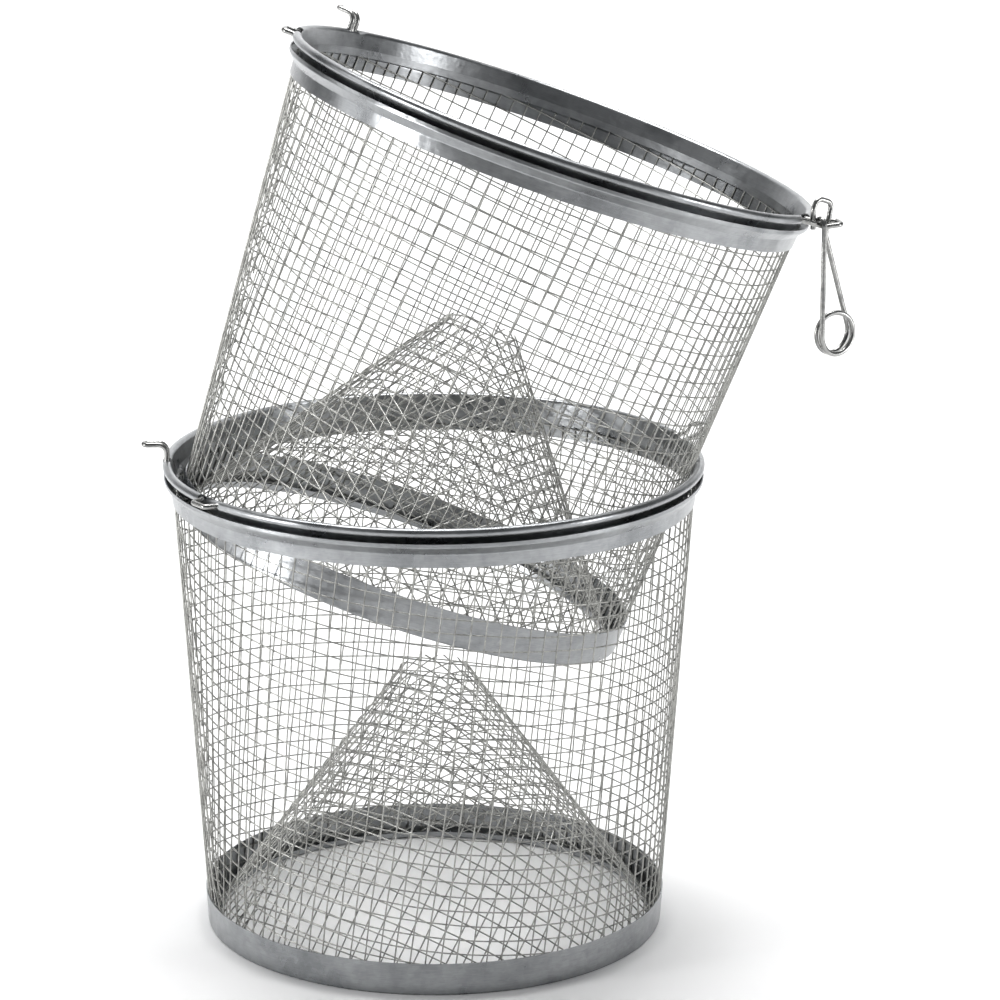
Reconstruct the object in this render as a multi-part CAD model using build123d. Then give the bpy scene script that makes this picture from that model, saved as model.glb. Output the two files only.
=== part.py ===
"""Two-piece wire minnow trap: one half basket standing, the other leaning in its mouth.

Each half is a slightly tapered basket of quarter-inch welded mesh with an inverted
mesh funnel in its small end. A folded strip binds the small end and two strips bind
the mouth. One wire runs round the mouth inside the rolled bead and comes out of it
as a hook, a hook eye and a closure eye. The loose half carries a sprung wire clip.

Millimetres, +Z up. The origin is the centre of the standing half's foot.
"""
from build123d import *
from math import asin, atan, atan2, cos, degrees, hypot, pi, radians, sin, sqrt
import os

# ---- Driving sizes of one half, in its own frame: foot on z = 0, mouth up ----
HALF_HEIGHT = 204.4        # foot to the top of the mouth bead
FOOT_RADIUS = 98.0         # outside of the foot band at the floor
MOUTH_RADIUS = 114.3       # outside of the mouth bead
STRIP = 0.5                # thickness of every galvanized strip
FIT_GAP = 0.05             # clearance between pieces that are clamped together

# Welded mesh
MESH_PITCH = 6.35
MESH_WIRE = 0.64
WELD_GAP = 0.02            # between the two layers of wires, which are welded in reality

# Foot band: a U-shaped strip that holds the ends of both meshes
FOOT_BAND_HEIGHT = 14.2
FOOT_WEB = 6.0             # width of the U across its bottom
FOOT_LIP_HEIGHT = 2.9      # its inner side
FOOT_FOLD = 0.9            # outside radius of its folds

# Mouth strips
BEAD_DIAMETER = 3.8        # rolled top of the inner band
ROLL_TURN = 300.0          # how far it is rolled round the rim wire, degrees
INNER_BAND_DEPTH = 10.4    # bead top to the bottom of the inner band
INNER_FLARE_DROP = 7.2     # bead top to where the inner band flares out
OUTER_BAND_DEPTH = 16.8    # bead top to the bottom of the outer band
OUTER_BAND_RADIUS = 110.5  # outside of the outer band at its bottom
RIDGE_RADIUS = 113.9       # outside of the outer band's flared edge
RIDGE_DROP = 6.2           # bead top to the top of the flared edge
RIDGE_FACE = 1.6           # height of the flared edge above its slope
RIDGE_SLOPE = 3.4          # height of that slope
RIDGE_FOLD = 1.0           # radius of the folds either side of it
MESH_TOP_DROP = 7.6        # bead top to the cut end of the side mesh

# Entrance funnel
FUNNEL_HEIGHT = 112.5      # foot to the funnel's mouth
FUNNEL_MOUTH = 26.0        # clear diameter of the entrance
FUNNEL_MOUTH_LINES = 24    # line wires that reach it; twice and four times as many lower

# Rim wire and what is bent from it
RIM_WIRE = 2.2
RIM_BUTT = 0.1             # gap where the wire's two ends meet
WIRE_BEND = 1.8            # centre-line radius of its bends
HOOK_BEND = 3.6            # and of the hook's outward bend
RIM_LEAD = 2.4             # straight run beside each bent part, in bend radii
LATCH_SPREAD = 17.0        # hook and hook eye stand this far off the hinge line, degrees
HOOK_WIDTH = 3.7           # between the centres of the hook's legs
HOOK_RISE = 8.5
HOOK_REACH = 9.6
EYE_WIDTH = 9.0            # along its outer side
EYE_FOOT = 12.0            # along the rim
EYE_REACH = 5.8
CLOSURE_WIDTH = 6.4
CLOSURE_FLAT = 9.6         # rim wire to the closure eye's upward bend
CLOSURE_TIP = 7.8          # that bend to the tip
CLOSURE_RISE = 22.0        # degrees
CLOSURE_SKEW = 40.0        # the closure eye leans this far to one side, degrees
BEAD_GAP = 1.6             # the bead is cut this far beyond the centre of each bent wire
CLOSURE_GAP = 3.2          # and this far beyond the closure eye's sharply bent leg

# Clip
CLIP_WIRE = 2.2
CLIP_SEAT = 7.6            # rim wire to the clip's pivot, along the closure eye
CLIP_PLAY = 0.55           # clearance round the wire it pivots on
CLIP_CURL = 200.0          # how far its upper end wraps that wire, degrees
CLIP_COIL = 19.2           # outside diameter of the coil
CLIP_COIL_DROP = 46.0      # pivot to the coil's centre, downwards
CLIP_WAIST_OUT = 4.6       # pivot to the kink in the right leg
CLIP_WAIST_DROP = 5.0
CLIP_HOOK_OUT = 7.4        # pivot to the hook's outer shoulder
CLIP_HOOK_SHOULDER = 8.4
CLIP_HOOK_TOP = 11.0
CLIP_HOOK_IN = 1.8         # pivot to the hook's free end, towards the rim
CLIP_HOOK_CHEEK = 6.6
CLIP_HOOK_DROP = 1.8       # that end below the pivot
CLIP_BEND = 2.8            # centre-line radius of the hook's bends
COIL_HALF_TURNS = 3        # of the spring coil between the legs
CLIP_SWIVEL = 10.0         # its plane is turned this far from the eye's legs, degrees

# How the halves stand
HINGE_SIDE_LOWER = 199.0   # direction of the hinge line, degrees round from +X
HINGE_SIDE_UPPER = 160.5
LEAN = 19.1                # tilt of the upper half, degrees
LEAN_AZIMUTH = 7.3         # direction it leans to, degrees round from +X
REST_GAP = 0.2             # between the halves where they rest on each other

# ---- Worked out from the sizes above ----
BEAD_R = BEAD_DIAMETER / 2
RIM_R = MOUTH_RADIUS - BEAD_R
RIM_Z = HALF_HEIGHT - BEAD_R
OUTER_BOTTOM_Z = HALF_HEIGHT - OUTER_BAND_DEPTH
INNER_BOTTOM_Z = HALF_HEIGHT - INNER_BAND_DEPTH
MESH_TOP_Z = HALF_HEIGHT - MESH_TOP_DROP
CLOSURE_ANGLE = 180.0                          # opposite the hinge line
CLOSURE_HALF_FOOT = CLOSURE_WIDTH / 2 / cos(radians(CLOSURE_SKEW))
WALL_SLOPE = (OUTER_BAND_RADIUS - FOOT_RADIUS) / OUTER_BOTTOM_Z
MESH_THICKNESS = 2 * MESH_WIRE + WELD_GAP
LINE_DEPTH = MESH_WIRE / 2                     # mesh face to the line wires' centres
HOOP_DEPTH = MESH_THICKNESS - MESH_WIRE / 2    # mesh face to the cross wires' centres
CLIP_SPLIT = (CLIP_WIRE + RIM_WIRE) / 2 + CLIP_PLAY
UP = Vector(0, 0, 1)


def mesh_outside(z):
    """Radius of the side mesh's outer face at height z."""
    return FOOT_RADIUS - STRIP - FIT_GAP + WALL_SLOPE * z


FUNNEL_BASE_R = mesh_outside(0) - MESH_THICKNESS - FIT_GAP
FUNNEL_TAPER = (FUNNEL_BASE_R - FUNNEL_MOUTH / 2 - MESH_THICKNESS) / FUNNEL_HEIGHT


def funnel_outside(z):
    """Radius of the funnel mesh's outer face at height z."""
    return FUNNEL_BASE_R - FUNNEL_TAPER * z


# ---- Building blocks ----
def polar(radius, angle, z=0.0):
    """Point at a radius, an angle in degrees and a height."""
    return Vector(radius * cos(radians(angle)), radius * sin(radians(angle)), z)


def round_bar(start, end, diameter):
    """Straight round wire."""
    run = end - start
    return Solid.make_cylinder(diameter / 2, run.length, Plane(start, z_dir=run))


def hoop(radius, z):
    """Cross wire of a mesh, a closed ring with an eight-sided section."""
    section = Pos(radius, z) * RegularPolygon(MESH_WIRE / 2, 8)
    return revolve(Plane.XZ * section, Axis.Z).solid()


def bent_wire(path, diameter):
    """Round wire along a path without kinks."""
    section = Plane(path @ 0, z_dir=path % 0) * Circle(diameter / 2)
    return sweep(section, path=path).solid()


def folded_strip(points, folds):
    """Ring of folded strip; its outside face runs through the (radius, height) points."""
    path = FilletPolyline(*points, radius=folds)
    outline = offset(path, amount=-STRIP, side=Side.LEFT)
    return revolve(Plane.XZ * make_face(outline), Axis.Z).solid()


# ---- Mesh: line wires run up the slope, cross wires are hoops inside them ----
def side_line_wires():
    """Line wires of the side mesh, from the foot band to the mouth strips."""
    count = round(2 * pi * mesh_outside(HALF_HEIGHT / 2) / MESH_PITCH)
    low = FOOT_FOLD + FIT_GAP
    wires = []
    for index in range(count):
        angle = 360 * index / count
        foot = polar(mesh_outside(low) - LINE_DEPTH, angle, low)
        top = polar(mesh_outside(MESH_TOP_Z) - LINE_DEPTH, angle, MESH_TOP_Z)
        wires.append(round_bar(foot, top, MESH_WIRE))
    return wires


def side_hoop_wires():
    """Cross wires of the side mesh."""
    count = int((MESH_TOP_Z - STRIP) / MESH_PITCH)
    heights = [MESH_TOP_Z - (index + 0.5) * MESH_PITCH for index in range(count)]
    return [hoop(mesh_outside(z) - HOOP_DEPTH, z) for z in heights]


def funnel_line_wires():
    """Line wires of the funnel; three out of four stop where it gets too narrow."""
    low = STRIP + FIT_GAP + MESH_WIRE
    depth = LINE_DEPTH * sqrt(1 + FUNNEL_TAPER ** 2)
    crowded_r = FUNNEL_MOUTH_LINES * MESH_PITCH / (2 * pi)
    tops = [FUNNEL_HEIGHT]
    for share in (2, 1):
        tops.append((FUNNEL_BASE_R - share * crowded_r) / FUNNEL_TAPER)
    wires = []
    for index in range(4 * FUNNEL_MOUTH_LINES):
        angle = 90 * index / FUNNEL_MOUTH_LINES
        top_z = tops[(0, 1, 2, 1)[index % 4]]
        foot = polar(funnel_outside(low) - depth, angle, low)
        top = polar(funnel_outside(top_z) - depth, angle, top_z)
        wires.append(round_bar(foot, top, MESH_WIRE))
    return wires


def funnel_hoop_wires():
    """Cross wires of the funnel."""
    step = MESH_PITCH / sqrt(1 + FUNNEL_TAPER ** 2)
    depth = HOOP_DEPTH * sqrt(1 + FUNNEL_TAPER ** 2)
    count = int((FUNNEL_HEIGHT - FOOT_LIP_HEIGHT) / step)
    heights = [FUNNEL_HEIGHT - (index + 0.5) * step for index in range(count)]
    return [hoop(funnel_outside(z) - depth, z) for z in heights]


# ---- Strips ----
def foot_band():
    """Folded strip round the small end."""
    top = (FOOT_RADIUS + WALL_SLOPE * FOOT_BAND_HEIGHT, FOOT_BAND_HEIGHT)
    outer_fold = (FOOT_RADIUS, 0)
    inner_fold = (FOOT_RADIUS - FOOT_WEB, 0)
    lip = (FOOT_RADIUS - FOOT_WEB, FOOT_LIP_HEIGHT)
    return folded_strip([lip, inner_fold, outer_fold, top], FOOT_FOLD)


def outer_rim_band():
    """Strip round the outside of the mouth, with its upper edge flared."""
    slope_foot = HALF_HEIGHT - RIDGE_DROP - RIDGE_FACE - RIDGE_SLOPE
    slope_foot_r = OUTER_BAND_RADIUS + WALL_SLOPE * (slope_foot - OUTER_BOTTOM_Z)
    points = [
        (OUTER_BAND_RADIUS, OUTER_BOTTOM_Z),
        (slope_foot_r, slope_foot),
        (RIDGE_RADIUS, slope_foot + RIDGE_SLOPE),
        (RIDGE_RADIUS, HALF_HEIGHT - RIDGE_DROP),
    ]
    return folded_strip(points, RIDGE_FOLD)


def inner_rim_band():
    """Strip round the inside of the mouth, rolled over the rim wire and slotted for it."""
    roll_r = BEAD_R - STRIP
    face = FIT_GAP + MESH_THICKNESS
    flare_z = HALF_HEIGHT - INNER_FLARE_DROP
    flare_r = mesh_outside(flare_z) - face
    away = hypot(RIM_R - flare_r, RIM_Z - flare_z)
    rise = degrees(atan2(RIM_Z - flare_z, RIM_R - flare_r) + asin(roll_r / away))
    roll_start = rise + 90
    flare = Vector(flare_r, flare_z)
    bottom = Vector(mesh_outside(INNER_BOTTOM_Z) - face, INNER_BOTTOM_Z)
    inward = polar(1, degrees(atan(1 / WALL_SLOPE)) + 90)
    crease = (inward + polar(1, roll_start)).normalized()
    crease *= STRIP / crease.dot(inward)
    centre = (RIM_R, RIM_Z)
    inner_roll = CenterArc(centre, roll_r, roll_start, -ROLL_TURN)
    outer_roll = CenterArc(centre, BEAD_R, roll_start, -ROLL_TURN)
    face_side = Polyline(bottom, flare, inner_roll @ 0)
    back_side = Polyline(bottom + inward * STRIP, flare + crease, outer_roll @ 0)
    ends = Line(inner_roll @ 1, outer_roll @ 1) + Line(bottom, bottom + inward * STRIP)
    outline = make_face([*face_side.edges(), inner_roll, outer_roll, *back_side.edges(), *ends])
    band = revolve(Plane.XZ * outline, Axis.Z).solid()
    slots = [
        (-LATCH_SPREAD, HOOK_WIDTH / 2 + BEAD_GAP, HOOK_WIDTH / 2 + BEAD_GAP),
        (LATCH_SPREAD, EYE_FOOT / 2 + BEAD_GAP, EYE_FOOT / 2 + BEAD_GAP),
        (CLOSURE_ANGLE, CLOSURE_HALF_FOOT + BEAD_GAP, CLOSURE_HALF_FOOT + CLOSURE_GAP),
    ]
    slot_r = RIM_R - roll_r
    slot = Pos(slot_r + BEAD_DIAMETER, RIM_Z) * Rectangle(2 * BEAD_DIAMETER, 2 * BEAD_DIAMETER)
    for angle, before, after in slots:
        cutter = revolve(Plane.XZ * slot, Axis.Z, degrees((before + after) / RIM_R))
        band -= Rot(0, 0, angle - degrees(before / RIM_R)) * cutter
    return band.solid()


# ---- Rim wire ----
def rim_point(angle):
    """Point on the rim wire's circle."""
    return polar(RIM_R, angle, RIM_Z)


def rim_arc(start_angle, end_angle):
    """Stretch of the rim wire's circle."""
    middle = (start_angle + end_angle) / 2
    return Edge.make_three_point_arc(
        rim_point(start_angle), rim_point(middle), rim_point(end_angle)
    )


def rim_detour(angle, half_foot, corners, bends):
    """Path that leaves the rim circle, runs through the corners and comes back to it."""
    lead = RIM_LEAD * WIRE_BEND
    reach = degrees((half_foot + lead) / RIM_R)
    start = rim_point(angle - reach)
    end = rim_point(angle + reach)
    leave = start + polar(lead, angle - reach + 90)
    arrive = end - polar(lead, angle + reach + 90)
    path = FilletPolyline(start, leave, *corners, arrive, end, radius=bends)
    return angle - reach, angle + reach, path


def hook_detour():
    """Open hook: two legs rise from the rim, bend outwards and meet at the tip."""
    root = rim_point(-LATCH_SPREAD) + UP * HOOK_RISE
    tip = root + polar(HOOK_REACH, -LATCH_SPREAD)
    side = polar(HOOK_WIDTH / 2, 90 - LATCH_SPREAD)
    corners = [root - side, tip - side, tip + side, root + side]
    bends = [WIRE_BEND, HOOK_BEND, WIRE_BEND, WIRE_BEND, HOOK_BEND, WIRE_BEND]
    return rim_detour(-LATCH_SPREAD, HOOK_WIDTH / 2, corners, bends)


def eye_detour():
    """Flat jog of the rim wire that the other half's hook enters."""
    out = rim_point(LATCH_SPREAD) + polar(EYE_REACH, LATCH_SPREAD)
    side = polar(EYE_WIDTH / 2, 90 + LATCH_SPREAD)
    return rim_detour(LATCH_SPREAD, EYE_FOOT / 2, [out - side, out + side], WIRE_BEND)


def closure_axes():
    """Root, outward, sideways and rising directions of the closure eye."""
    outward = polar(1, CLOSURE_ANGLE + CLOSURE_SKEW)
    sideways = polar(1, CLOSURE_ANGLE + CLOSURE_SKEW + 90)
    rising = outward * cos(radians(CLOSURE_RISE)) + UP * sin(radians(CLOSURE_RISE))
    return rim_point(CLOSURE_ANGLE), outward, sideways, rising


def closure_detour():
    """Closure eye: two parallel legs that leave the rim askew and then rise."""
    root, outward, sideways, rising = closure_axes()
    side = sideways * (CLOSURE_WIDTH / 2)
    knee = root + outward * CLOSURE_FLAT
    tip = knee + rising * CLOSURE_TIP
    corners = [knee - side, tip - side, tip + side, knee + side]
    return rim_detour(CLOSURE_ANGLE, CLOSURE_HALF_FOOT, corners, WIRE_BEND)


def rim_wire():
    """Wire inside the bead, with the hook, the hook eye and the closure eye bent from it."""
    half_butt = degrees(RIM_BUTT / 2 / RIM_R)
    edges = []
    here = half_butt
    for shift, detour in ((0, eye_detour()), (0, closure_detour()), (360, hook_detour())):
        start_angle, end_angle, path = detour
        edges.append(rim_arc(here, start_angle + shift))
        edges.extend(path.edges())
        here = end_angle + shift
    edges.append(rim_arc(here, 360 - half_butt))
    return bent_wire(Wire(edges), RIM_WIRE)


# ---- One half ----
def half_basket():
    """Named pieces of one half; a mesh layer is a list of wires."""
    return {
        "side_line_wires": side_line_wires(),
        "side_hoop_wires": side_hoop_wires(),
        "funnel_line_wires": funnel_line_wires(),
        "funnel_hoop_wires": funnel_hoop_wires(),
        "foot_band": [foot_band()],
        "inner_rim_band": [inner_rim_band()],
        "outer_rim_band": [outer_rim_band()],
        "rim_wire": [rim_wire()],
    }


# ---- How the upper half rests in the lower one ----
def resting_frame():
    """Frame of the leaning half.

    Its foot band's edge lies against the lower half's side wall on one side. On the
    other, its own side wall lies on the lower half's bead. Both contacts are lines in
    the upright plane of the lean: foot_x * shift + foot_z * height = foot_sum, and the
    same for the bead.
    """
    lean = radians(LEAN)
    spread = sqrt(1 + WALL_SLOPE ** 2)
    foot_x = 1
    foot_z = WALL_SLOPE
    foot_sum = FOOT_RADIUS * (cos(lean) - WALL_SLOPE * sin(lean)) + REST_GAP * spread
    foot_sum -= mesh_outside(0) - MESH_THICKNESS
    bead_x = WALL_SLOPE * sin(lean) - cos(lean)
    bead_z = WALL_SLOPE * cos(lean) + sin(lean)
    bead_sum = mesh_outside(0) + (BEAD_R + REST_GAP) * spread
    bead_sum += RIM_R * bead_x + RIM_Z * bead_z
    whole = foot_x * bead_z - foot_z * bead_x
    shift = (foot_sum * bead_z - foot_z * bead_sum) / whole
    height = (foot_x * bead_sum - bead_x * foot_sum) / whole
    axis = polar(sin(lean), LEAN_AZIMUTH, cos(lean))
    level = Vector(1, 0, 0) - axis * axis.X
    frame = Plane(polar(shift, LEAN_AZIMUTH, height), x_dir=level, z_dir=axis)
    return Plane(frame.location * Rot(0, 0, HINGE_SIDE_UPPER))


# ---- Clip ----
def clip(frame):
    """Sprung wire clip that hangs from the near leg of the upper half's closure eye.

    Its left leg curls over that leg of the eye; its right leg passes up through the eye
    and ends as a hook. Points are (away from the rim, across, up) from the pivot.
    """
    root, outward, sideways, _ = closure_axes()
    seat = root + outward * CLIP_SEAT - sideways * (CLOSURE_WIDTH / 2)
    pivot = frame.from_local_coords(seat)
    eye_run = frame.from_local_coords(seat + outward) - pivot
    away = Vector(eye_run.X, eye_run.Y, 0).rotate(Axis.Z, CLIP_SWIVEL).normalized()
    hanging = Plane(pivot, x_dir=away, z_dir=UP)

    curl_end = CLIP_CURL - 180
    curl = [
        Vector(0, CLIP_SPLIT * cos(radians(turn)), CLIP_SPLIT * sin(radians(turn)))
        for turn in (-curl_end, 90 - curl_end / 2, 180)
    ]
    coil_r = (CLIP_COIL - CLIP_WIRE) / 2
    half_step = CLIP_SPLIT / COIL_HALF_TURNS
    half_r = hypot(coil_r, half_step)
    coil = [
        Edge.make_three_point_arc(
            Vector(2 * coil_r * (half % 2), half_step * (2 * half - COIL_HALF_TURNS), 0),
            Vector(coil_r, half_step * (2 * half + 1 - COIL_HALF_TURNS), half_r * (-1) ** (half + 1)),
            Vector(2 * coil_r * (1 - half % 2), half_step * (2 * half + 2 - COIL_HALF_TURNS), 0),
        ).moved(Pos(0, 0, -CLIP_COIL_DROP))
        for half in range(COIL_HALF_TURNS)
    ]
    centre = Vector(coil_r, CLIP_SPLIT, -CLIP_COIL_DROP)
    waist = Vector(CLIP_WAIST_OUT, CLIP_SPLIT, -CLIP_WAIST_DROP)
    rise = waist - centre
    slant = atan2(rise.Z, rise.X) + asin(coil_r / rise.length) - pi / 2
    leaving = [
        centre + Vector(coil_r * cos(turn), 0, coil_r * sin(turn))
        for turn in (0, slant / 2, slant)
    ]
    hook_points = [
        waist,
        (CLIP_HOOK_OUT, CLIP_SPLIT, CLIP_HOOK_SHOULDER),
        (0, CLIP_SPLIT, CLIP_HOOK_TOP),
        (-CLIP_HOOK_IN, CLIP_SPLIT, CLIP_HOOK_CHEEK),
        (-CLIP_HOOK_IN, CLIP_SPLIT, -CLIP_HOOK_DROP),
    ]
    edges = [
        Edge.make_three_point_arc(*curl),
        Edge.make_line(curl[-1], coil[0] @ 0),
        *coil,
        Edge.make_three_point_arc(*leaving),
        *FilletPolyline(leaving[-1], *hook_points, radius=CLIP_BEND).edges(),
    ]
    return hanging.location * bent_wire(Wire(edges), CLIP_WIRE)


# ---- Build and write ----
def main():
    """Write every piece in its place in the whole trap."""
    os.makedirs("parts", exist_ok=True)
    upper_frame = resting_frame()
    half = half_basket()
    places = {"lower": Rot(0, 0, HINGE_SIDE_LOWER), "upper": upper_frame.location}
    for side, place in places.items():
        for name, solids in half.items():
            moved = [place * solid for solid in solids]
            export_step(Compound(children=moved), f"parts/{side}_{name}.step")
    export_step(clip(upper_frame), "parts/clip.step")


main()
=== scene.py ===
"""Looks of the two-piece wire minnow trap: welded mesh, galvanized strips and wires.

The strips, the rim wires and the clip are the CAD's own. The welded meshes are drawn
again wire by wire: each one is a flat square grid rolled into a cone, so the wires run
true to the sheet and askew to the cone, and the sheet's edges lap at the hinge side.
"""

import math
import random

import bpy
import numpy as np
from mathutils import Matrix, Vector

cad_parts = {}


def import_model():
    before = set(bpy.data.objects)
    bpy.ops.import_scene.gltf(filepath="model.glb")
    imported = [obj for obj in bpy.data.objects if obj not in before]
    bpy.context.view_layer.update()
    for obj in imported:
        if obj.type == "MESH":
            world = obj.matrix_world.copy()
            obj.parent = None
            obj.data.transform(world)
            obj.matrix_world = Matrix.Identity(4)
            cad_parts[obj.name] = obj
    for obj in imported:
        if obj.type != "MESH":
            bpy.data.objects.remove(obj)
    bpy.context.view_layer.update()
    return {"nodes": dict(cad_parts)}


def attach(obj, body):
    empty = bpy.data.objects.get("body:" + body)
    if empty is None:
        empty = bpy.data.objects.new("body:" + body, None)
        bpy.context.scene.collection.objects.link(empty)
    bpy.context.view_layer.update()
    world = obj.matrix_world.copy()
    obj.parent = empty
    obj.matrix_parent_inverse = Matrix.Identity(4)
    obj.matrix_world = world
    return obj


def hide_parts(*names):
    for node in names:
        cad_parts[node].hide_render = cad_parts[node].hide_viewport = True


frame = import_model()

# ---- Sizes, in metres and degrees ----
PITCH = 0.00635            # of the welded mesh
WIRE = 0.00064             # its wire
WELD_SINK = 0.00008        # how far crossing wires are pressed into each other
FOOT_R = 0.0980            # outside of the foot band at the floor
STRIP = 0.0005
FIT_GAP = 0.00005
WALL_SLOPE = 12.5 / 187.6  # of the side wall, radius over height
MESH_FOOT = 0.0012         # cut ends of the meshes above the foot
MESH_TOP = 0.1968
FUNNEL_TOP = 0.1125
FUNNEL_MOUTH_R = 0.0130
BANDS_Z = (0.0142, 0.1876)  # between these heights the side mesh is in view
FUNNEL_Z = (0.004, 0.125)  # and between these the funnel mesh
SIDE_LAP = 0.009           # the sheet's edges lap by this much
FUNNEL_LAP = 0.012
LAP_EASE = 0.4             # share of the lap over which the outer edge lifts
BAND_EASE = 1.5            # laps from a band over which that lift dies away
WIRE_SIDES = 8
EDGE_HALVINGS = 12         # steps that find where a wire is cut
WELD_SPREAD = (0.80, 1.15)  # smallest and largest weld
WELD_SWELL = 1.35          # a mean weld over the wire it sits on
WAVE = 0.00022             # how far a wire strays from its line
WAVE_LENGTH = 0.055
HINGE_SIDE = {"lower": 199.0, "upper": 160.5}

WIRE_R = WIRE / 2
MESH_THICKNESS = 2 * WIRE - WELD_SINK
SHEET_R = FOOT_R - STRIP - FIT_GAP     # outer face of the side mesh at the foot


# ---- Frames of the two halves ----
def mesh_arrays(obj):
    """Vertex positions and triangles of a mesh object."""
    mesh = obj.data
    mesh.calc_loop_triangles()
    points = np.empty(len(mesh.vertices) * 3)
    mesh.vertices.foreach_get("co", points)
    triangles = np.empty(len(mesh.loop_triangles) * 3, dtype=np.int64)
    mesh.loop_triangles.foreach_get("vertices", triangles)
    return points.reshape(-1, 3), triangles.reshape(-1, 3)


def surface_centre(obj):
    """Centre of area of an object's surface."""
    points, triangles = mesh_arrays(obj)
    a, b, c = (points[triangles[:, i]] for i in range(3))
    areas = np.linalg.norm(np.cross(b - a, c - a), axis=1)
    return Vector(((a + b + c) / 3 * areas[:, None]).sum(axis=0) / areas.sum())


def half_frame(side):
    """Matrix of a half: origin at its foot's centre, Z its axis, X its hinge side."""
    foot = frame["nodes"][f"{side}_foot_band"]
    rim = frame["nodes"][f"{side}_outer_rim_band"]
    foot_centre = surface_centre(foot)
    axis = (surface_centre(rim) - foot_centre).normalized()
    points, _ = mesh_arrays(foot)
    lowest = (points @ np.array(axis)).min()
    origin = foot_centre + axis * (lowest - foot_centre.dot(axis))
    level = (Vector((1, 0, 0)) - axis * axis.x).normalized()
    turn = Matrix.Rotation(math.radians(HINGE_SIDE[side]), 4, "Z")
    across = axis.cross(level)
    place = Matrix((level, across, axis)).transposed().to_4x4()
    place.translation = origin
    return place @ turn


FRAMES = {side: half_frame(side) for side in HINGE_SIDE}


# ---- Welded mesh as a rolled flat sheet ----
class Cone:
    """Cone surface and its flat development."""

    def __init__(self, base_r, slope, low, high, lap, bands):
        self.base_r = base_r
        self.slope = slope
        self.spread = math.sqrt(1 + slope * slope)
        self.sine = abs(slope) / self.spread
        self.low_rho = self.rho(low)
        self.high_rho = self.rho(high)
        self.lap = lap
        self.bands = bands

    def rho(self, z):
        """Distance from the cone's apex along its surface."""
        return (self.base_r + self.slope * z) / self.sine

    def place(self, flat, depth):
        """Points in the half's frame for flat sheet points, and the outward normals.

        The sheet's middle lies opposite the hinge side, its edges meet at it.
        """
        rho = np.hypot(flat[:, 0], flat[:, 1])
        turn = np.arctan2(flat[:, 0], flat[:, 1]) / self.sine
        radius = rho * self.sine
        z = (radius - self.base_r) / self.slope
        angle = turn + math.pi
        past = (turn - math.pi) * radius
        ease = self.lap * LAP_EASE
        lift = np.clip((past + ease) / ease, 0, 1)
        lift = lift * lift * (3 - 2 * lift)
        low, high = self.bands
        edge = np.minimum(z - low, high - z) / (self.lap * BAND_EASE)
        lift = lift * np.clip(edge, 0, 1) * MESH_THICKNESS
        out = np.stack([np.cos(angle), np.sin(angle), np.zeros_like(angle)], axis=1)
        normal = out / self.spread
        normal[:, 2] = -self.slope / self.spread
        base = out * radius[:, None]
        base[:, 2] = z
        return base + normal * (lift - depth)[:, None], normal

    def inside(self, flat):
        """Which flat points lie on the cut sheet."""
        rho = np.hypot(flat[:, 0], flat[:, 1])
        turn = np.arctan2(flat[:, 0], flat[:, 1]) / self.sine
        past = (turn - math.pi) * rho * self.sine
        least = min(self.low_rho, self.high_rho)
        most = max(self.low_rho, self.high_rho)
        fits = (rho >= least) & (rho <= most)
        return fits & (turn >= -math.pi) & (past <= self.lap)


def grid_range(cone, axis):
    """Lowest and highest grid line of the sheet along one flat axis."""
    most = max(cone.low_rho, cone.high_rho)
    least = min(cone.low_rho, cone.high_rho)
    reach = min(math.pi, math.pi * cone.sine + cone.lap / most * 1.2)
    if axis == 0:
        side = most * (math.sin(reach) if reach < math.pi / 2 else 1)
        return int(-side / PITCH) - 1, int(side / PITCH) + 2
    low = min(least * math.cos(reach), most * math.cos(reach))
    return int(low / PITCH) - 1, int(most / PITCH) + 2


def sheet_wires(cone, axis, step, rng):
    """Flat polylines of the sheet's wires that run along one flat axis."""
    low, high = grid_range(cone, 1 - axis)
    along_low, along_high = grid_range(cone, axis)
    wires = []
    for index in range(low, high):
        along = np.arange(along_low * PITCH, along_high * PITCH, step)
        phase = rng.uniform(0, 2 * math.pi)
        stray = rng.uniform(0.3, 1.0) * WAVE
        across = index * PITCH + stray * np.sin(along / WAVE_LENGTH * 2 * math.pi + phase)
        flat = np.zeros((len(along), 2))
        flat[:, axis] = along
        flat[:, 1 - axis] = across
        wires.extend(cut_runs(cone, flat))
    return wires


def cut_runs(cone, flat):
    """Runs of one wire that lie on the sheet, trimmed where they cross its edge."""
    fits = cone.inside(flat)
    runs = []
    start = None
    for index in range(len(flat) + 1):
        here = index < len(flat) and fits[index]
        if here and start is None:
            start = index
        if not here and start is not None:
            runs.append((start, index - 1))
            start = None
    wires = []
    for first, last in runs:
        points = list(flat[first:last + 1])
        if first > 0:
            points.insert(0, edge_point(cone, flat[first], flat[first - 1]))
        if last + 1 < len(flat):
            points.append(edge_point(cone, flat[last], flat[last + 1]))
        if len(points) > 2:
            wires.append(np.array(points))
    return wires


def edge_point(cone, inner, outer):
    """Point between an inner and an outer one where the sheet ends."""
    for _ in range(EDGE_HALVINGS):
        middle = (inner + outer) / 2
        if cone.inside(middle[None])[0]:
            inner = middle
        else:
            outer = middle
    return inner


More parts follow.
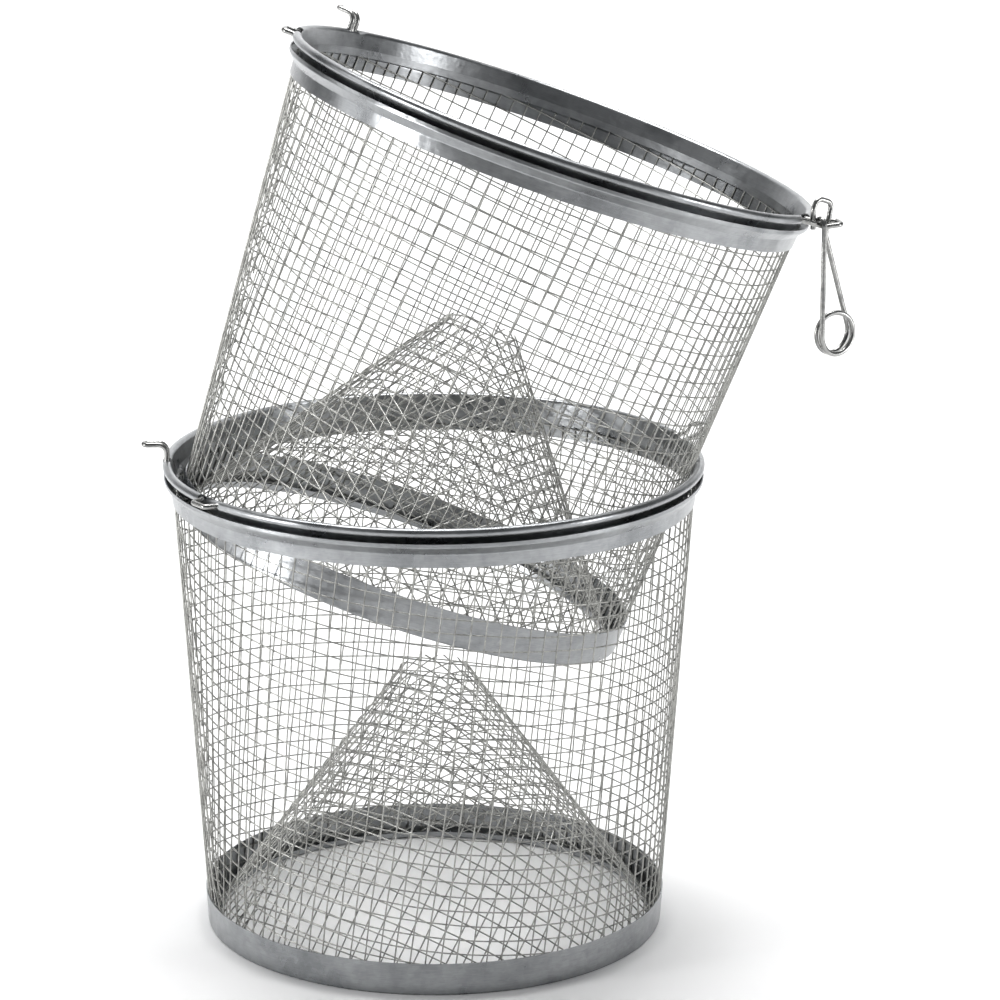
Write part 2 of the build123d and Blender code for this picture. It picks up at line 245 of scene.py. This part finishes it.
def tube_arrays(points, normals, radius):
    """Vertices and faces of a round tube with flat ends."""
    along = np.gradient(points, axis=0)
    along /= np.linalg.norm(along, axis=1)[:, None]
    side = np.cross(along, normals)
    side /= np.linalg.norm(side, axis=1)[:, None]
    top = np.cross(side, along)
    turns = np.arange(WIRE_SIDES) * 2 * math.pi / WIRE_SIDES
    ring = radius * (
        np.cos(turns)[None, :, None] * top[:, None, :]
        + np.sin(turns)[None, :, None] * side[:, None, :]
    )
    verts = (points[:, None, :] + ring).reshape(-1, 3)
    count = len(points)
    base = np.arange(count - 1)[:, None] * WIRE_SIDES
    here = np.arange(WIRE_SIDES)[None, :]
    after = (here + 1) % WIRE_SIDES
    quads = np.stack(
        [base + here, base + after, base + WIRE_SIDES + after, base + WIRE_SIDES + here],
        axis=-1,
    ).reshape(-1, 4)
    ends = np.array([
        list(range(WIRE_SIDES))[::-1],
        list(range((count - 1) * WIRE_SIDES, count * WIRE_SIDES)),
    ])
    return verts, quads, ends


def make_object(name, verts, polygons, place, material):
    """Mesh object from arrays given in a half's frame."""
    mesh = bpy.data.meshes.new(name)
    mesh.from_pydata(verts.tolist(), [], polygons)
    mesh.transform(place)
    mesh.update()
    mesh.polygons.foreach_set("use_smooth", [True] * len(mesh.polygons))
    mesh.materials.append(material)
    obj = bpy.data.objects.new(name, mesh)
    bpy.context.scene.collection.objects.link(obj)
    return obj


def wires_object(name, cone, wires, depth, place, material):
    """One object that holds all wires of one layer."""
    all_verts = []
    polygons = []
    offset = 0
    for flat in wires:
        points, normals = cone.place(flat, depth)
        verts, quads, ends = tube_arrays(points, normals, WIRE_R)
        all_verts.append(verts)
        polygons.extend((quads + offset).tolist())
        polygons.extend((ends + offset).tolist())
        offset += len(verts)
    return make_object(name, np.concatenate(all_verts), polygons, place, material)


def small_ball():
    """Corners and faces of a small ball, an icosahedron."""
    golden = (1 + math.sqrt(5)) / 2
    corners = []
    for a in (-1, 1):
        for b in (-golden, golden):
            corners.extend([(0, a, b), (a, b, 0), (b, 0, a)])
    corners = np.array(corners) / math.hypot(1, golden)
    faces = []
    edge = 2 / math.hypot(1, golden) + 1e-6
    for i in range(12):
        for j in range(i + 1, 12):
            for k in range(j + 1, 12):
                trio = corners[[i, j, k]]
                sides = [np.linalg.norm(trio[m] - trio[m - 1]) for m in range(3)]
                if max(sides) < edge:
                    outward = np.cross(trio[1] - trio[0], trio[2] - trio[0]) @ trio.sum(axis=0)
                    faces.append((i, j, k) if outward > 0 else (i, k, j))
    return corners, np.array(faces)


def weld_object(name, cone, depth, place, material, rng):
    """Zinc-filled welds where the wires cross."""
    x_low, x_high = grid_range(cone, 0)
    y_low, y_high = grid_range(cone, 1)
    xs, ys = np.meshgrid(np.arange(x_low, x_high), np.arange(y_low, y_high))
    flat = np.stack([xs.ravel(), ys.ravel()], axis=1) * PITCH
    flat = flat[cone.inside(flat)]
    points, normals = cone.place(flat, depth)
    corners, faces = small_ball()
    sizes = np.array([rng.uniform(*WELD_SPREAD) for _ in points]) * WIRE_R * WELD_SWELL
    verts = (points[:, None, :] + corners[None] * sizes[:, None, None]).reshape(-1, 3)
    polygons = (faces[None] + np.arange(len(points))[:, None, None] * len(corners))
    return make_object(name, verts, polygons.reshape(-1, 3).tolist(), place, material)


# ---- Materials ----
class Nodes:
    """Short names for building a node tree."""

    def __init__(self, name):
        self.material = bpy.data.materials.new(name)
        self.material.use_nodes = True
        self.tree = self.material.node_tree
        self.shader = self.tree.nodes["Principled BSDF"]

    def add(self, kind, **settings):
        node = self.tree.nodes.new(kind)
        for key, value in settings.items():
            setattr(node, key, value)
        return node

    def link(self, source, target):
        self.tree.links.new(source, target)

    def math(self, operation, first, second=None):
        node = self.add("ShaderNodeMath", operation=operation)
        for socket, value in zip(node.inputs, (first, second)):
            if value is None:
                continue
            if isinstance(value, (int, float)):
                socket.default_value = value
            else:
                self.link(value, socket)
        return node.outputs[0]

    def half_coordinates(self, place):
        """Angle, radius and height round a half's axis, as sockets, and the point."""
        mapping = self.add("ShaderNodeMapping", vector_type="TEXTURE")
        mapping.inputs["Location"].default_value = place.to_translation()
        mapping.inputs["Rotation"].default_value = place.to_euler()
        self.link(self.add("ShaderNodeTexCoord").outputs["Object"], mapping.inputs["Vector"])
        point = mapping.outputs["Vector"]
        parts = self.add("ShaderNodeSeparateXYZ")
        self.link(point, parts.inputs[0])
        angle = self.math("ARCTAN2", parts.outputs[1], parts.outputs[0])
        radius = self.add("ShaderNodeVectorMath", operation="LENGTH")
        flat = self.add("ShaderNodeCombineXYZ")
        self.link(parts.outputs[0], flat.inputs[0])
        self.link(parts.outputs[1], flat.inputs[1])
        self.link(flat.outputs[0], radius.inputs[0])
        return angle, radius.outputs["Value"], parts.outputs[2], point

    def noise(self, vector, scale, detail=3.0, roughness=0.55):
        node = self.add("ShaderNodeTexNoise")
        node.inputs["Scale"].default_value = scale
        node.inputs["Detail"].default_value = detail
        node.inputs["Roughness"].default_value = roughness
        self.link(vector, node.inputs["Vector"])
        return node.outputs["Fac"]

    def ramp(self, value, stops):
        node = self.add("ShaderNodeValToRGB")
        elements = node.color_ramp.elements
        while len(elements) < len(stops):
            elements.new(0.5)
        for element, (position, color) in zip(elements, stops):
            element.position = position
            element.color = (*color, 1.0)
        self.link(value, node.inputs["Fac"])
        return node.outputs["Color"]

    def remap(self, value, low, high, to_low, to_high):
        node = self.add("ShaderNodeMapRange")
        limits = (low, high, to_low, to_high)
        for name, number in zip(("From Min", "From Max", "To Min", "To Max"), limits):
            node.inputs[name].default_value = number
        self.link(value, node.inputs["Value"])
        return node.outputs["Result"]

    def vector(self, x, y, z):
        node = self.add("ShaderNodeCombineXYZ")
        for socket, value in zip(node.inputs, (x, y, z)):
            self.link(value, socket)
        return node.outputs[0]

    def multiply_colors(self, first, second, amount):
        node = self.add("ShaderNodeMix", data_type="RGBA", blend_type="MULTIPLY")
        node.inputs["Factor"].default_value = amount
        self.link(first, node.inputs["A"])
        self.link(second, node.inputs["B"])
        return node.outputs["Result"]

    def bump(self, height, strength, distance, normal=None):
        node = self.add("ShaderNodeBump")
        node.inputs["Strength"].default_value = strength
        node.inputs["Distance"].default_value = distance
        self.link(height, node.inputs["Height"])
        if normal is not None:
            self.link(normal, node.inputs["Normal"])
        return node.outputs["Normal"]


# Texture scales, in cells a metre
GRAIN_SCALE = 4200
CLOUD_SCALE = 34
NICK_SCALE = 130
NICK_AREA_SCALE = 22       # the nicks come in patches of this scale
SPANGLE_SCALE = 420        # zinc crystals
FINE_OVER_PATCH = 9        # a wire's fine texture over its patches


def strip_material(name, place, light, dark):
    """Galvanized sheet strip: rolled grain round the ring, cloudy zinc, small nicks."""
    nodes = Nodes(name)
    angle, radius, height, point = nodes.half_coordinates(place)
    run = nodes.math("MULTIPLY", angle, 0.1)
    grain_space = nodes.vector(nodes.math("MULTIPLY", run, 0.04), radius, height)
    grain = nodes.noise(grain_space, GRAIN_SCALE, 2.0)
    cloud = nodes.noise(point, CLOUD_SCALE, 4.0, 0.6)
    nick_space = nodes.vector(run, radius, nodes.math("MULTIPLY", height, 0.35))
    nick = nodes.add("ShaderNodeTexVoronoi")
    nick.inputs["Scale"].default_value = NICK_SCALE
    nodes.link(nick_space, nick.inputs["Vector"])
    nick_mark = nodes.ramp(nick.outputs["Distance"], [(0.03, (0.35,) * 3), (0.10, (1.0,) * 3)])
    where = nodes.noise(point, NICK_AREA_SCALE, 2.0)
    nick_here = nodes.ramp(where, [(0.50, (1.0,) * 3), (0.62, (0.0,) * 3)])
    spangle = nodes.add("ShaderNodeTexVoronoi")
    spangle.inputs["Scale"].default_value = SPANGLE_SCALE
    nodes.link(point, spangle.inputs["Vector"])
    spangle_value = nodes.remap(spangle.outputs["Color"], 0, 1, 0.90, 1.06)
    tone = nodes.ramp(cloud, [(0.30, dark), (0.55, light), (0.80, dark)])
    grain_tone = nodes.remap(grain, 0.25, 0.75, 0.84, 1.08)
    marks = nodes.math("MAXIMUM", nick_mark, nick_here)
    color = nodes.multiply_colors(tone, grain_tone, 0.9)
    color = nodes.multiply_colors(color, spangle_value, 0.8)
    color = nodes.multiply_colors(color, marks, 0.55)
    nodes.link(color, nodes.shader.inputs["Base Color"])
    nodes.link(nodes.remap(cloud, 0.3, 0.75, 0.24, 0.38), nodes.shader.inputs["Roughness"])
    nodes.shader.inputs["Metallic"].default_value = 1.0
    normal = nodes.bump(grain, 0.18, 0.00010)
    normal = nodes.bump(cloud, 0.55, 0.0012, normal)
    normal = nodes.bump(marks, 0.30, 0.00015, normal)
    nodes.link(normal, nodes.shader.inputs["Normal"])
    return nodes.material


def wire_material(name, light, dark, roughness, scale):
    """Zinc-coated wire: uneven zinc, darker where it has run thin."""
    nodes = Nodes(name)
    point = nodes.add("ShaderNodeTexCoord").outputs["Object"]
    patch = nodes.noise(point, scale, 4.0, 0.65)
    fine = nodes.noise(point, scale * FINE_OVER_PATCH, 2.0)
    color = nodes.ramp(patch, [(0.32, dark), (0.52, light), (0.78, dark)])
    color = nodes.multiply_colors(color, nodes.remap(fine, 0.3, 0.7, 0.80, 1.10), 0.8)
    nodes.link(color, nodes.shader.inputs["Base Color"])
    low, high = roughness
    nodes.link(nodes.remap(patch, 0.3, 0.75, low, high), nodes.shader.inputs["Roughness"])
    nodes.shader.inputs["Metallic"].default_value = 1.0
    normal = nodes.bump(fine, 0.35, 0.00008)
    nodes.link(normal, nodes.shader.inputs["Normal"])
    return nodes.material


def plain_material(name, color, roughness):
    """Matt studio paper, with a faint tooth."""
    nodes = Nodes(name)
    point = nodes.add("ShaderNodeTexCoord").outputs["Object"]
    tooth = nodes.noise(point, 900, 2.0)
    nodes.shader.inputs["Base Color"].default_value = (*color, 1.0)
    nodes.shader.inputs["Roughness"].default_value = roughness
    nodes.link(nodes.bump(tooth, 0.05, 0.0002), nodes.shader.inputs["Normal"])
    return nodes.material


STRIP_LIGHT = (0.38, 0.39, 0.40)
STRIP_DARK = (0.24, 0.25, 0.26)
MESH_ZINC = wire_material("mesh_zinc", (0.42, 0.42, 0.40), (0.20, 0.20, 0.19), (0.30, 0.50), 160)
WELD_ZINC = wire_material("weld_zinc", (0.48, 0.48, 0.46), (0.26, 0.26, 0.25), (0.28, 0.42), 500)
RIM_ZINC = wire_material("rim_wire_zinc", (0.42, 0.42, 0.41), (0.25, 0.25, 0.245), (0.20, 0.34), 120)
SPRING_ZINC = wire_material("clip_zinc", (0.42, 0.42, 0.41), (0.22, 0.22, 0.22), (0.20, 0.32), 90)

SIDE_CONE = Cone(SHEET_R, WALL_SLOPE, MESH_FOOT, MESH_TOP, SIDE_LAP, BANDS_Z)
FUNNEL_BASE_R = SHEET_R - 2 * WIRE - 2 * FIT_GAP
FUNNEL_SLOPE = -(FUNNEL_BASE_R - FUNNEL_MOUTH_R - MESH_THICKNESS) / FUNNEL_TOP
FUNNEL_CONE = Cone(FUNNEL_BASE_R, FUNNEL_SLOPE, MESH_FOOT, FUNNEL_TOP, FUNNEL_LAP, FUNNEL_Z)


def dress_half(side, seed):
    """True meshes and finished strips of one half."""
    rng = random.Random(seed)
    place = FRAMES[side]
    body = f"{side}_half"
    for part, cone in (("side", SIDE_CONE), ("funnel", FUNNEL_CONE)):
        # The funnel's sheet is bent tighter, so its wires take twice the points.
        step = PITCH if part == "side" else PITCH / 2
        layers = (("line", 1, WIRE_R), ("hoop", 0, MESH_THICKNESS - WIRE_R))
        for layer, axis, depth in layers:
            wires = sheet_wires(cone, axis, step, rng)
            name = f"{side}_{part}_{layer}_zinc_wires"
            piece = wires_object(name, cone, wires, depth, place, MESH_ZINC)
            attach(piece, body)
            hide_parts(f"{side}_{part}_{layer}_wires")
        name = f"{side}_{part}_welds"
        welds = weld_object(name, cone, MESH_THICKNESS / 2, place, WELD_ZINC, rng)
        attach(welds, body)
    strip = strip_material(f"{side}_strip_zinc", place, STRIP_LIGHT, STRIP_DARK)
    for band in ("foot_band", "inner_rim_band", "outer_rim_band"):
        set_material(frame["nodes"][f"{side}_{band}"], strip)
    set_material(frame["nodes"][f"{side}_rim_wire"], RIM_ZINC)


def set_material(obj, material):
    """Give every slot of a CAD object this material."""
    for slot in obj.material_slots:
        slot.material = material


dress_half("lower", 11)
dress_half("upper", 23)
set_material(frame["nodes"]["clip"], SPRING_ZINC)


# ---- Studio ----
def sweep_backdrop():
    """Pale floor that curves up into a wall behind the object."""
    half_width = 3.0
    bend = 1.2
    profile = [(-3.0, 0.0), (1.6, 0.0)]
    for index in range(1, 13):
        turn = math.pi / 2 * index / 12
        profile.append((1.6 + bend * math.sin(turn), bend - bend * math.cos(turn)))
    profile.append((1.6 + bend, 3.5))
    verts = [(x, y, z) for y, z in profile for x in (-half_width, half_width)]
    faces = [(2 * i, 2 * i + 1, 2 * i + 3, 2 * i + 2) for i in range(len(profile) - 1)]
    mesh = bpy.data.meshes.new("studio_floor")
    mesh.from_pydata(verts, [], faces)
    mesh.polygons.foreach_set("use_smooth", [True] * len(mesh.polygons))
    mesh.materials.append(plain_material("studio_paper", (0.93, 0.93, 0.93), 0.9))
    floor = bpy.data.objects.new("studio_floor", mesh)
    bpy.context.scene.collection.objects.link(floor)


def softbox(name, position, target, size, power):
    """Rectangular area light that faces its target."""
    data = bpy.data.lights.new(name, "AREA")
    data.shape = "RECTANGLE"
    data.size, data.size_y = size
    data.energy = power
    lamp = bpy.data.objects.new(name, data)
    lamp.location = position
    aim = Vector(target) - Vector(position)
    lamp.rotation_euler = aim.to_track_quat("-Z", "Y").to_euler()
    bpy.context.scene.collection.objects.link(lamp)


def camera():
    """Camera at the viewing angle: 15 degrees down, a touch to the right."""
    distance = 1.723975
    height = 0.6612675
    down, pan, roll = 0.2694, 0.0162, 0.0029
    forward = Vector((
        math.sin(pan) * math.cos(down), math.cos(pan) * math.cos(down), -math.sin(down)
    ))
    level = Vector((math.cos(pan), -math.sin(pan), 0))
    upright = level.cross(forward)
    right = level * math.cos(roll) + upright * math.sin(roll)
    up = upright * math.cos(roll) - level * math.sin(roll)
    data = bpy.data.cameras.new("camera")
    data.sensor_width = 36.0
    data.lens = 152.06
    eye = bpy.data.objects.new("camera", data)
    place = Matrix((right, up, -forward)).transposed().to_4x4()
    place.translation = Vector((0, -distance, height))
    eye.matrix_world = place
    bpy.context.scene.collection.objects.link(eye)
    bpy.context.scene.camera = eye


def world():
    """Even, dim studio surroundings."""
    setting = bpy.data.worlds.new("studio")
    setting.use_nodes = True
    setting.node_tree.nodes["Background"].inputs["Color"].default_value = (0.9, 0.92, 0.95, 1)
    setting.node_tree.nodes["Background"].inputs["Strength"].default_value = 0.16
    bpy.context.scene.world = setting


sweep_backdrop()
middle = (0.02, 0.0, 0.18)
softbox("left_strip", (-1.50, -0.60, 0.30), middle, (0.30, 0.6), 13)
softbox("right_strip", (1.50, -0.60, 0.30), middle, (0.30, 0.6), 7)
softbox("side_left", (-2.2, 0.2, 1.0), middle, (0.5, 1.6), 6)
softbox("top", (0.0, 0.4, 2.4), middle, (1.6, 1.2), 46)
softbox("backdrop_light", (0.0, 0.9, 2.6), (0.0, 2.6, 0.6), (2.4, 0.8), 62)
camera()
world()
bpy.context.scene.view_settings.view_transform = "Standard"
